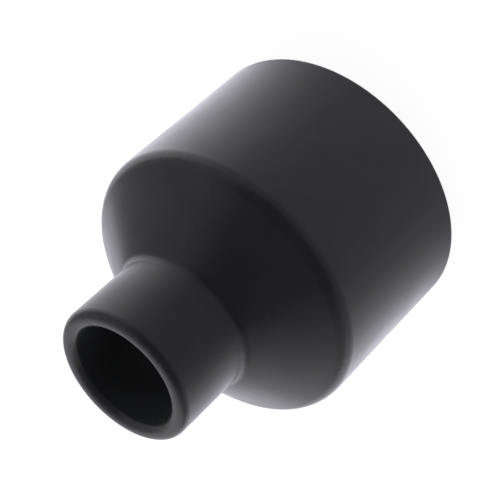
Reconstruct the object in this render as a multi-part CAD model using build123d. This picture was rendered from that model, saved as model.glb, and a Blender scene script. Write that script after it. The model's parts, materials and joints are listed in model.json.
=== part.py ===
from build123d import *
import os
from math import radians, tan

# Socket reducer for solvent-cement pressure pipe, injection moulded in one piece.
# It stands on its large mouth: origin at the centre of that mouth's face, +Z up the
# common axis of both sockets, towards the small mouth. Millimetres throughout.
# The outside only ever narrows towards the small mouth, so the moulding leaves its
# cavity along the axis and carries no parting line on its barrels or its shoulder.

# ---- driving dimensions -------------------------------------------------------------

# Pipes that the two sockets take, and the entry clearance on diameter for each
large_pipe_od = 60.33
small_pipe_od = 26.67
large_socket_clearance = 0.30
small_socket_clearance = 0.20

# Sockets: depth from the mouth's face to the ledge that stops the pipe
large_socket_depth = 38.1
small_socket_depth = 25.4

# Walls of the two barrels
large_barrel_wall = 5.8
small_barrel_wall = 4.4

# Shoulder: the conical step between the barrels
barrel_past_large_stop = 7.1   # straight barrel beyond the large pipe's ledge
shoulder_slope = 37.0          # degrees between the cone and the plane of a mouth
small_stop_below_neck = 3.4    # how far the small socket reaches down past the neck
shoulder_round = 5.4
neck_round = 3.2

# Ledges that the pipe ends butt on, and the waterway between them
large_stop_width = 4.3
small_stop_width = 3.4
stop_corner_round = 0.6
large_stop_straight = 1.5      # least straight bore between the large ledge and the cone
small_stop_straight = 0.2      # least straight throat between the cone and the small ledge
waterway_start_round = 5.0
waterway_throat_round = 2.5

# Mouth edges
large_lip_round = 1.0
large_lead_in = 1.2
small_lip_round = 2.2
small_lip_flat = 0.2           # what the lip's round and the lead-in leave of the mouth's face

# ---- sizes that follow --------------------------------------------------------------

large_bore_r = (large_pipe_od + large_socket_clearance) / 2
small_bore_r = (small_pipe_od + small_socket_clearance) / 2
large_barrel_r = large_bore_r + large_barrel_wall
small_barrel_r = small_bore_r + small_barrel_wall
large_stop_r = large_bore_r - large_stop_width
small_stop_r = small_bore_r - small_stop_width
small_lead_in = small_barrel_wall - small_lip_round - small_lip_flat

# Heights of the corners, before they are rounded
large_stop_z = large_socket_depth
shoulder_z = large_stop_z + barrel_past_large_stop
neck_z = shoulder_z + (large_barrel_r - small_barrel_r) * tan(radians(shoulder_slope))
small_stop_z = neck_z - small_stop_below_neck
overall_length = small_stop_z + small_socket_depth

# A round at a corner that turns less than a right angle takes less than its own radius
# of the wall beside it, so these two heights leave room for the rounds at any slope
cone_start_z = large_stop_z + stop_corner_round + large_stop_straight + waterway_start_round
cone_end_z = small_stop_z - stop_corner_round - small_stop_straight - waterway_throat_round


# ---- outlines: (radius, height, corner round) ----------------------------------------

def outside_corners():
    """The outer surface, from the large mouth up to the small one."""
    return [
        (large_barrel_r, 0, large_lip_round),
        (large_barrel_r, shoulder_z, shoulder_round),
        (small_barrel_r, neck_z, neck_round),
        (small_barrel_r, overall_length, small_lip_round),
    ]


def inside_corners():
    """The sockets, their ledges and the waterway, from the small mouth down."""
    return [
        (small_bore_r, overall_length, small_lead_in),
        (small_bore_r, small_stop_z, 0),
        (small_stop_r, small_stop_z, stop_corner_round),
        (small_stop_r, cone_end_z, waterway_throat_round),
        (large_stop_r, cone_start_z, waterway_start_round),
        (large_stop_r, large_stop_z, stop_corner_round),
        (large_bore_r, large_stop_z, 0),
        (large_bore_r, 0, large_lead_in),
    ]


def section(corners):
    """A closed face in the XZ plane with each corner rounded by its own radius."""
    points = [(radius, 0, height) for radius, height, _ in corners]
    rounds = [corner_round for _, _, corner_round in corners]
    return make_face(FilletPolyline(*points, radius=rounds, close=True))


# ---- the moulding ---------------------------------------------------------------------

def reducer_body():
    """The whole wall, in one turn of its section about the axis."""
    return revolve(section(outside_corners() + inside_corners()), Axis.Z)


os.makedirs("parts", exist_ok=True)
body = reducer_body()
export_step(body, "parts/reducer_body.step")
print(f"overall length {overall_length:.3f}")
print(f"large barrel {2 * large_barrel_r:.3f} across, small barrel {2 * small_barrel_r:.3f}")
print(f"volume {body.volume:.1f}, solids {len(body.solids())}")
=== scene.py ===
# %% [markdown]
# # A plastic pipe reducer in a white tent
# A socket reducer is one injection moulding of dark grey PVC. It takes a wide pipe at one end and
# a narrow one at the other, and both are cemented in. Its shape is ready in the CAD model, so this
# lesson is about the two things that make a plain dark shape look real: the finish that moulding
# and handling leave on it, and the light that it mirrors.

# %% Load the fitting
import json
import math

import bpy
from mathutils import Matrix, Vector


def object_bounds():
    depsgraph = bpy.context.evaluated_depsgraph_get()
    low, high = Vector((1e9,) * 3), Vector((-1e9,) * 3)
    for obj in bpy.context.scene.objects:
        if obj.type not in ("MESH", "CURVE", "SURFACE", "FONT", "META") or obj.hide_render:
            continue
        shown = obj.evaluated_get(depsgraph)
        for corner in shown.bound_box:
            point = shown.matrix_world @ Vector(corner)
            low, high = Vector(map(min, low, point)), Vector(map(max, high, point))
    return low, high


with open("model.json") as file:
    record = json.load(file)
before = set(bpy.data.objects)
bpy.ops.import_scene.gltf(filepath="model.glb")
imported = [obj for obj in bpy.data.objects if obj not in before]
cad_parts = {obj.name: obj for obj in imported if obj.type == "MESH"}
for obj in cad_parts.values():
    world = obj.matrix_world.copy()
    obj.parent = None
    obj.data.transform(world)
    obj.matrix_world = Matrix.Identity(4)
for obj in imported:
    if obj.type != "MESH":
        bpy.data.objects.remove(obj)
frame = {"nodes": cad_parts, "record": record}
cad_low, cad_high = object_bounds()
body = frame["nodes"]["reducer_body"]
MM = 0.001
print(f"fitting: {len(body.data.polygons)} faces, {(cad_high.z - cad_low.z) / MM:.1f} mm long")

# %% [markdown]
# The finish changes from place to place: rims get rubbed, sockets are smoother than the outside.
# So the material has to know where those places are. They could be typed in as numbers, but a
# copied number goes stale when the model changes. Here they are measured instead: the large bore
# comes from the record that is packed with the model, and the shoulder comes from the mesh, as
# the highest point that still lies on the large barrel.

# %% Measure the places that the finish depends on
sockets = {mount["name"]: mount["dims"] for mount in frame["record"]["mounts"]}
large_bore = sockets["large_socket"]["r_mm"] * MM
barrel_radius = (cad_high.x - cad_low.x) / 2
lip_height = cad_high.z
ON_BARREL = 0.999


def radius_of(point):
    """How far a point of the fitting is from its axis."""
    return math.hypot(point.x, point.y)


shoulder_height = max(v.co.z for v in body.data.vertices if radius_of(v.co) > ON_BARREL * barrel_radius)
print(f"large bore {large_bore / MM:.2f} mm in radius, in a barrel of {barrel_radius / MM:.2f} mm")
print(f"shoulder starts {shoulder_height / MM:.1f} mm up, lip is {lip_height / MM:.1f} mm up")

# %% [markdown]
# The CAD mesh comes in one patch for each face of the model. Where a straight patch runs into a
# round one, their normals differ by a few degrees, which can show as a faint crease on a moulding
# that has none. Editing the mesh would mend that but lose touch with the CAD. Three modifiers
# mend it from outside: weld the patches, cut them apart again only at true corners, and let the
# largest faces at each point decide which way the surface faces there.
#
# The corner's angle matters. On the smallest rounds, neighbouring faces turn by up to 60 degrees,
# so a limit of 30 would cut into them and spoil their shading. The only true corners, where the
# sockets meet the ledges that stop the pipes, turn by about 90.

# %% Smooth shading across the patches
SAME_POINT = 0.001 * MM
TRUE_CORNER = math.radians(60)


def smooth_over_patches(piece):
    """Weld the patches, keep true corners sharp, and weigh normals by the area of the faces."""
    weld = piece.modifiers.new("weld_patches", "WELD")
    weld.merge_threshold = SAME_POINT
    corners = piece.modifiers.new("true_corners", "EDGE_SPLIT")
    corners.split_angle = TRUE_CORNER
    normals = piece.modifiers.new("area_normals", "WEIGHTED_NORMAL")
    normals.mode = "FACE_AREA"


smooth_over_patches(body)
print("modifiers:", ", ".join(modifier.name for modifier in body.modifiers))

# %% [markdown]
# The camera looks down at the small mouth from arm's length, through a long lens that keeps the
# barrels' sides nearly parallel. It is also rolled on its side, so that the fitting lies across the
# picture while it really stands on its large mouth. Tracking a camera at a target always keeps it
# upright, so the roll is a second turn about the line of sight, put on before the first.

# %% Camera
EYE_DISTANCE = 0.4075
EYE_ELEVATION = math.radians(39.5)
AIM = Vector((0.0015, 0, 0.0311))
ROLL = math.radians(132.85)
LENS_MM = 117.45
SENSOR_MM = 36.0


def add_camera():
    """A long lens on the -Y side, aimed at the barrels and rolled about its line of sight."""
    camera = bpy.data.objects.new("camera", bpy.data.cameras.new("camera"))
    bpy.context.scene.collection.objects.link(camera)
    camera.data.lens = LENS_MM
    camera.data.sensor_width = SENSOR_MM
    eye = EYE_DISTANCE * Vector((0, -math.cos(EYE_ELEVATION), math.sin(EYE_ELEVATION)))
    upright = (AIM - eye).to_track_quat("-Z", "Y").to_matrix().to_4x4()
    camera.matrix_world = Matrix.Translation(eye) @ upright @ Matrix.Rotation(-ROLL, 4, "Z")
    bpy.context.scene.camera = camera
    return camera


camera = add_camera()
print("camera at", [round(value / MM) for value in camera.matrix_world.translation], "mm")

# %% [markdown]
# Blender's materials and its world are both node trees, and a tree built in code soon drowns in
# lines that create a node, set it and link it. Three small helpers keep the rest readable: calc
# for sums on numbers, turn for sums on vectors, and blend for smooth steps. Each takes plain
# numbers or other nodes' outputs and gives back its own output, so they can be nested like
# ordinary functions. They share a fourth, feed, and a fifth turns a bearing into a direction.

# %% Helpers for node trees
def feed(tree, socket, value):
    """Link an output to a socket, or set the socket's own number."""
    if isinstance(value, bpy.types.NodeSocket):
        tree.links.new(value, socket)
    else:
        socket.default_value = value


def calc(tree, operation, first, second=0.0):
    """One sum on numbers, such as ADD, MULTIPLY or MAXIMUM."""
    node = tree.nodes.new("ShaderNodeMath")
    node.operation = operation
    feed(tree, node.inputs[0], first)
    feed(tree, node.inputs[1], second)
    return node.outputs[0]


def turn(tree, operation, first, second=(0, 0, 0)):
    """One sum on vectors, such as MULTIPLY, NORMALIZE or DOT_PRODUCT."""
    node = tree.nodes.new("ShaderNodeVectorMath")
    node.operation = operation
    feed(tree, node.inputs[0], first)
    feed(tree, node.inputs[1], second)
    return node.outputs["Value" if operation in ("DOT_PRODUCT", "LENGTH") else "Vector"]


def blend(tree, value, start, end, low=0.0, high=1.0):
    """A number that goes smoothly from low to high while value goes from start to end."""
    node = tree.nodes.new("ShaderNodeMapRange")
    node.interpolation_type = "SMOOTHSTEP"
    for name, number in (("From Min", start), ("From Max", end), ("To Min", low), ("To Max", high)):
        node.inputs[name].default_value = number
    feed(tree, node.inputs["Value"], value)
    return node.outputs["Result"]


def heading(azimuth, elevation):
    """The unit vector towards a place in the studio. Azimuth 0 is -Y, and 90 is +X."""
    azimuth, elevation = math.radians(azimuth), math.radians(elevation)
    flat = math.cos(elevation)
    return Vector((math.sin(azimuth) * flat, -math.cos(azimuth) * flat, math.sin(elevation)))


print("azimuth 90, elevation 30 is towards", [round(part, 2) for part in heading(90, 30)])

# %% [markdown]
# Dark plastic shows its surroundings more than its own colour. It mirrors only about 4% of the
# light that meets it head on, but nearly all of it at a glancing angle. So it is lit in a white
# tent: the barrels turn pale along their edges, where they mirror the tent's sides, and stay dark
# where they face the lens, which looks in through the tent's dark opening.
#
# Lamps could make such a tent, but a dozen would be needed for a light this soft. The world can
# be the tent itself: its brightness is worked out from the direction alone. One smooth step makes
# the dark opening, and a second makes the patch where a lamp stands behind the cloth.

# %% The tent
TENT_OPENING = heading(-15, 37)
OPENING_DARK = 0.09
OPENING_EDGE = (math.cos(math.radians(62)), math.cos(math.radians(45)))
CLOTH_BRIGHT = 0.43
BACK_LAMP = heading(200, 32)
BACK_LAMP_BRIGHT = 0.7
BACK_LAMP_EDGE = math.cos(math.radians(50))
LIGHT_TINT = (0.985, 0.965, 1.06, 1)


def hang_tent():
    """World light: a white cloth all round, with a dark opening and one brighter patch."""
    world = bpy.data.worlds.new("white_tent")
    bpy.context.scene.world = world
    world.use_nodes = True
    tree = world.node_tree
    tree.nodes.clear()
    direction = tree.nodes.new("ShaderNodeTexCoord").outputs["Generated"]
    to_opening = turn(tree, "DOT_PRODUCT", direction, TENT_OPENING)
    to_lamp = turn(tree, "DOT_PRODUCT", direction, BACK_LAMP)
    cloth = blend(tree, to_opening, *OPENING_EDGE, CLOTH_BRIGHT, OPENING_DARK)
    lamp = blend(tree, to_lamp, BACK_LAMP_EDGE, 1, 0, BACK_LAMP_BRIGHT)
    glow = tree.nodes.new("ShaderNodeBackground")
    glow.inputs["Color"].default_value = LIGHT_TINT
    feed(tree, glow.inputs["Strength"], calc(tree, "ADD", cloth, lamp))
    out = tree.nodes.new("ShaderNodeOutputWorld")
    tree.links.new(glow.outputs["Background"], out.inputs["Surface"])


hang_tent()
print(f"tent: cloth {CLOTH_BRIGHT}, opening {OPENING_DARK}, lamp patch {CLOTH_BRIGHT + BACK_LAMP_BRIGHT}")

# %% [markdown]
# The floor is a sheet of white paper, overexposed as in a catalogue so that it goes pure white and
# only a breath of shadow is left under the rim. But a floor that bright everywhere would flood
# the front of the barrels with its reflection. A studio solves that with a black card just
# below the lens. The Light Path node can do the same: rays that come straight from the camera see
# white paper, and all others see paper that is dimmer in front of the fitting than behind it, and
# dimmer far off than near by.

# %% White paper
FLOOR_SEEN = 0.93
FLOOR_SHADE = (0.30, 0.30, 0.30, 1)
FLOOR_DIM_SIDE = heading(-11, 0)
FLOOR_FRONT = 0.47
FLOOR_BACK = 1.9
FRONT_FADE = (-0.4, 0.9)   # cosine of the angle from the dim side
FLOOR_FAR = 0.62
FAR_FADE = (0.05, 0.15)    # metres from the fitting's axis


def paper_seen(tree):
    """What the camera sees: a glow that is almost white, and a little paper to take the shadow."""
    glow = tree.nodes.new("ShaderNodeEmission")
    glow.inputs["Strength"].default_value = FLOOR_SEEN
    shade = tree.nodes.new("ShaderNodeBsdfDiffuse")
    shade.inputs["Color"].default_value = FLOOR_SHADE
    both = tree.nodes.new("ShaderNodeAddShader")
    tree.links.new(glow.outputs[0], both.inputs[0])
    tree.links.new(shade.outputs[0], both.inputs[1])
    return both.outputs[0]


def paper_mirrored(tree):
    """What the fitting mirrors: a glow that is dimmer in front of it, and dimmer far off."""
    place = tree.nodes.new("ShaderNodeTexCoord").outputs["Object"]
    forward = turn(tree, "DOT_PRODUCT", turn(tree, "NORMALIZE", place), FLOOR_DIM_SIDE)
    strength = blend(tree, forward, *FRONT_FADE, FLOOR_BACK, FLOOR_FRONT)
    nearness = blend(tree, turn(tree, "LENGTH", place), *FAR_FADE, 1, FLOOR_FAR)
    glow = tree.nodes.new("ShaderNodeEmission")
    glow.inputs["Color"].default_value = LIGHT_TINT
    feed(tree, glow.inputs["Strength"], calc(tree, "MULTIPLY", strength, nearness))
    return glow.outputs[0]


def white_paper():
    """One paper for the camera's rays and another for all the rest."""
    material = bpy.data.materials.new("white_paper")
    material.use_nodes = True
    tree = material.node_tree
    tree.nodes.clear()
    ray = tree.nodes.new("ShaderNodeLightPath")
    choice = tree.nodes.new("ShaderNodeMixShader")
    tree.links.new(ray.outputs["Is Camera Ray"], choice.inputs["Fac"])
    tree.links.new(paper_mirrored(tree), choice.inputs[1])
    tree.links.new(paper_seen(tree), choice.inputs[2])
    out = tree.nodes.new("ShaderNodeOutputMaterial")
    tree.links.new(choice.outputs[0], out.inputs["Surface"])
    return material


print(f"paper's glow: {FLOOR_FRONT} in front to {FLOOR_BACK} behind, times {FLOOR_FAR} far off")

# %% [markdown]
# The sheet itself is one square face. It could be a plane with a curved sweep at the back, as in a
# studio, but white paper under a white tent shows no horizon as long as the sheet is wide: from a
# low viewpoint a small one would end inside the picture, with the tent behind it.

# %% The floor
FLOOR_HALF_WIDTH = 15.0


def lay_floor():
    """A flat sheet at the height of the large mouth's face."""
    mesh = bpy.data.meshes.new("floor")
    square = ((-1, -1), (1, -1), (1, 1), (-1, 1))
    mesh.from_pydata([(x * FLOOR_HALF_WIDTH, y * FLOOR_HALF_WIDTH, 0) for x, y in square], [], [range(4)])
    mesh.materials.append(white_paper())
    floor = bpy.data.objects.new("floor", mesh)
    bpy.context.scene.collection.objects.link(floor)


lay_floor()
print(f"floor: {2 * FLOOR_HALF_WIDTH:.0f} m wide, level with the large mouth")

# %% [markdown]
# Everything below is drawn on the fitting from its own coordinates, so it needs no unwrapping
# and stays put when the fitting moves. Two kinds of pattern are enough. Plain noise has the same
# size every way: pigment, grain, smudges. Draw marks run lengthwise, because the moulding slid
# off its core and out of its cavity that way: noise makes them too, when it is read on a circle
# round the axis and squashed along it, and a circle has no seam where the pattern would jump.

# %% Patterns on the plastic
def object_place(tree):
    """Where a point lies on the fitting, in metres from the middle of its large mouth."""
    return tree.nodes.new("ShaderNodeTexCoord").outputs["Object"]


def noise(tree, place, size_mm, detail=2.0):
    """Soft blotches of about one size, from 0 to 1, with finer ones inside them."""
    node = tree.nodes.new("ShaderNodeTexNoise")
    node.inputs["Scale"].default_value = 1 / (size_mm * MM)
    node.inputs["Detail"].default_value = detail
    feed(tree, node.inputs["Vector"], place)
    return node.outputs["Fac"]


def flat_place(tree):
    """The same place with its height taken out: only how far out it lies, and which way."""
    return turn(tree, "MULTIPLY", object_place(tree), (1, 1, 0))


def draw_marks(tree, width_mm, length_mm):
    """Fine lines along the axis, each of them much longer than it is wide."""
    around = turn(tree, "MULTIPLY", turn(tree, "NORMALIZE", flat_place(tree)), (barrel_radius,) * 3)
    along = turn(tree, "MULTIPLY", object_place(tree), (0, 0, width_mm / length_mm))
    return noise(tree, turn(tree, "ADD", around, along), width_mm, detail=1)


print(f"draw marks lie round a circle of {2 * math.pi * barrel_radius / MM:.0f} mm")

# %% [markdown]
# A mask is a number that is 1 where something happens to a surface and 0 elsewhere. Three places
# on a fitting are handled differently from the rest. Its rims are rubbed, because it is stood and
# slid on them. The shoulder's outer round is polished, because fittings roll against each other
# there in their box. The sockets are smoother than the outside, because a core pin is polished to
# let go of the plastic. Edges could be found by their sharpness, but that depends on the mesh,
# so these masks use the heights measured at the start, and the way that the surface faces.

# %% Masks: rubbed rims, a polished shoulder, smooth sockets
RUBBED_RIM = 1.4 * MM
RUB_PATCH_MM = 1.3
RUB_PATCH_EDGE = (0.40, 0.70)
SHOULDER_BAND = 3.6 * MM
SHOULDER_MIDDLE = 1.5 * MM   # above the place where the round starts
FACES_AXIS = (-0.3, -0.7)    # how far the surface faces outward, from -1 to 1


def height_of(tree):
    """How high a point lies above the face of the large mouth."""
    split = tree.nodes.new("ShaderNodeSeparateXYZ")
    tree.links.new(object_place(tree), split.inputs[0])
    return split.outputs["Z"]


def rims(tree):
    """1 on the edges of both mouths, in uneven patches."""
    height = height_of(tree)
    foot = blend(tree, height, RUBBED_RIM, 0)
    lip = blend(tree, height, lip_height - RUBBED_RIM, lip_height)
    patches = blend(tree, noise(tree, object_place(tree), RUB_PATCH_MM, detail=4), *RUB_PATCH_EDGE)
    return calc(tree, "MULTIPLY", calc(tree, "MAXIMUM", foot, lip), patches)


def shoulder(tree):
    """1 round the shoulder's outer round, fading out above and below it."""
    above = calc(tree, "SUBTRACT", height_of(tree), shoulder_height + SHOULDER_MIDDLE)
    band = blend(tree, calc(tree, "ABSOLUTE", above), SHOULDER_BAND, 0)
    outside = blend(tree, turn(tree, "LENGTH", flat_place(tree)), large_bore, barrel_radius)
    return calc(tree, "MULTIPLY", band, outside)


def inside(tree):
    """1 where the surface faces the axis, as in the sockets."""
    facing = tree.nodes.new("ShaderNodeTexCoord").outputs["Normal"]
    outward = turn(tree, "DOT_PRODUCT", facing, turn(tree, "NORMALIZE", flat_place(tree)))
    return blend(tree, outward, *FACES_AXIS)


print(f"rims rubbed for {RUBBED_RIM / MM} mm, shoulder polished over {2 * SHOULDER_BAND / MM} mm")

# %% [markdown]
# PVC of this sort is a dark neutral grey all the way through. Its pigment is never mixed quite
# evenly, so the colour drifts a little over about a centimetre. Where a rim has been rubbed, tiny
# scratches scatter more light and it looks paler. The sockets are painted paler too: that is
# painted light, standing in for the light that reaches into the bores.
# A colour ramp could do one of these, but mixing by a number keeps the greys and the masks apart,
# so each can be changed alone.

# %% Colour
PVC_DARK = (0.034, 0.034, 0.035, 1)
PVC_PALE = (0.043, 0.043, 0.044, 1)
# painted light: the sockets get this paler grey to stand in for the light inside the bores
PVC_BORE_PAINTED_LIGHT = (0.066, 0.070, 0.070, 1)
PVC_RUBBED = (0.062, 0.062, 0.063, 1)
PIGMENT_DRIFT_MM = 11.0
PIGMENT_SPREAD = (0.3, 0.7)


def mix_colours(tree, factor, first, second):
    """One colour going over into another as factor goes from 0 to 1."""
    node = tree.nodes.new("ShaderNodeMix")
    node.data_type = "RGBA"
    feed(tree, node.inputs["Factor"], factor)
    feed(tree, node.inputs["A"], first)
    feed(tree, node.inputs["B"], second)
    return node.outputs["Result"]


def pvc_colour(tree):
    """Grey that drifts with the pigment, is paler on the rubbed rims, and has painted light in the
    sockets.
    """
    drift = blend(tree, noise(tree, object_place(tree), PIGMENT_DRIFT_MM, detail=4), *PIGMENT_SPREAD)
    skin = mix_colours(tree, drift, PVC_DARK, PVC_PALE)
    # painted light: the sockets are painted paler, standing in for the light inside the bores
    with_bore_light = mix_colours(tree, inside(tree), skin, PVC_BORE_PAINTED_LIGHT)
    return mix_colours(tree, rims(tree), with_bore_light, PVC_RUBBED)


print(f"greys: skin {PVC_DARK[0]} to {PVC_PALE[0]}, sockets {PVC_BORE_PAINTED_LIGHT[0]}, rubbed rims {PVC_RUBBED[0]}")

# %% [markdown]
# Roughness says how blurred the tent looks in the plastic. A moulding's skin is satin. Smudges
# from handling blur it more, draw marks streak it, the shoulder is a little polished and the
# sockets more so. They are added up one by one, because each is a separate thing that happened.

# %% Roughness
SATIN = 0.25
SMUDGE = 0.06
SMUDGE_MM = 17.0
SMUDGE_EDGE = (0.35, 0.75)
STREAK = 0.04
STREAK_WIDTH_MM = 1.6
STREAK_LENGTH_MM = 60
RIM_DULLNESS = 0.14
SHOULDER_POLISH = -0.04
SOCKET_POLISH = -0.06


def pvc_roughness(tree):
    """The satin skin, with everything that has dulled or polished it."""
    smudges = blend(tree, noise(tree, object_place(tree), SMUDGE_MM, detail=5), *SMUDGE_EDGE)
    streaks = draw_marks(tree, STREAK_WIDTH_MM, STREAK_LENGTH_MM)
    roughness = SATIN
    for amount, place in (
        (SMUDGE, smudges),
        (STREAK, streaks),
        (RIM_DULLNESS, rims(tree)),
        (SHOULDER_POLISH, shoulder(tree)),
        (SOCKET_POLISH, inside(tree)),
    ):
        roughness = calc(tree, "ADD", calc(tree, "MULTIPLY", place, amount), roughness)
    return roughness


print(f"roughness: {SATIN} on clean skin, up to {SATIN + SMUDGE + STREAK + RIM_DULLNESS:.2f} on the rims")

# %% [markdown]
# Bump bends the light as if the surface rose and fell, without moving it. That is right for marks
# about a hundredth of a millimetre high or less, far too fine for the mesh. Each Bump node takes
# the normal of the one before, so the marks lie on top of each other: the slow swell of plastic
# that shrank as it cooled, the grain of the steel that it was moulded against, draw marks, and
# scuffed rims.

# %% Bump
def cooling_swell(tree):
    """Slow waves, where the plastic shrank unevenly."""
    return noise(tree, object_place(tree), size_mm=8.0, detail=1)


def mould_grain(tree):
    """The fine grain of the steel."""
    return noise(tree, object_place(tree), size_mm=0.45, detail=3)


def fine_draw_marks(tree):
    """Lines along the axis, finer than the streaks in the gloss."""
    return draw_marks(tree, width_mm=0.9, length_mm=50)


def scuffs(tree):
    """Small dents where the rims are rubbed."""
    return calc(tree, "MULTIPLY", rims(tree), noise(tree, object_place(tree), size_mm=0.6))


RELIEF_MM = {cooling_swell: 0.012, mould_grain: 0.0012, fine_draw_marks: 0.0025, scuffs: 0.0035}


def pvc_normal(tree):
    """The surface's normal, bent by each mark in turn."""
    normal = None
    for marks, height_mm in RELIEF_MM.items():
        bump = tree.nodes.new("ShaderNodeBump")
        bump.inputs["Distance"].default_value = height_mm * MM
        feed(tree, bump.inputs["Height"], marks(tree))
        if normal:
            tree.links.new(normal, bump.inputs["Normal"])
        normal = bump.outputs["Normal"]
    return normal


for marks, height_mm in RELIEF_MM.items():
    print(f"{marks.__name__}: {1000 * height_mm:.1f} microns")

# %% [markdown]
# All the parts meet in one Principled shader. What is the same all over, such as how strongly PVC
# bends light, is set on the shader's own sockets, and only what varies is linked.

# %% The plastic, put on the fitting
PVC_IOR = 1.5


def moulded_pvc():
    """Dark grey PVC as it comes from the mould, and after some handling."""
    material = bpy.data.materials.new("moulded_pvc")
    material.use_nodes = True
    tree = material.node_tree
    shader = tree.nodes["Principled BSDF"]
    shader.inputs["IOR"].default_value = PVC_IOR
    feed(tree, shader.inputs["Base Color"], pvc_colour(tree))
    feed(tree, shader.inputs["Roughness"], pvc_roughness(tree))
    feed(tree, shader.inputs["Normal"], pvc_normal(tree))
    return material


body.data.materials.clear()
body.data.materials.append(moulded_pvc())
print("the plastic is made of", len(body.data.materials[0].node_tree.nodes), "nodes")

# %% [markdown]
# Blender's default view transform, made for film, would grey the white paper. The Standard one
# keeps white as white, as a catalogue picture does.

# %% Finish
bpy.context.scene.view_settings.view_transform = "Standard"
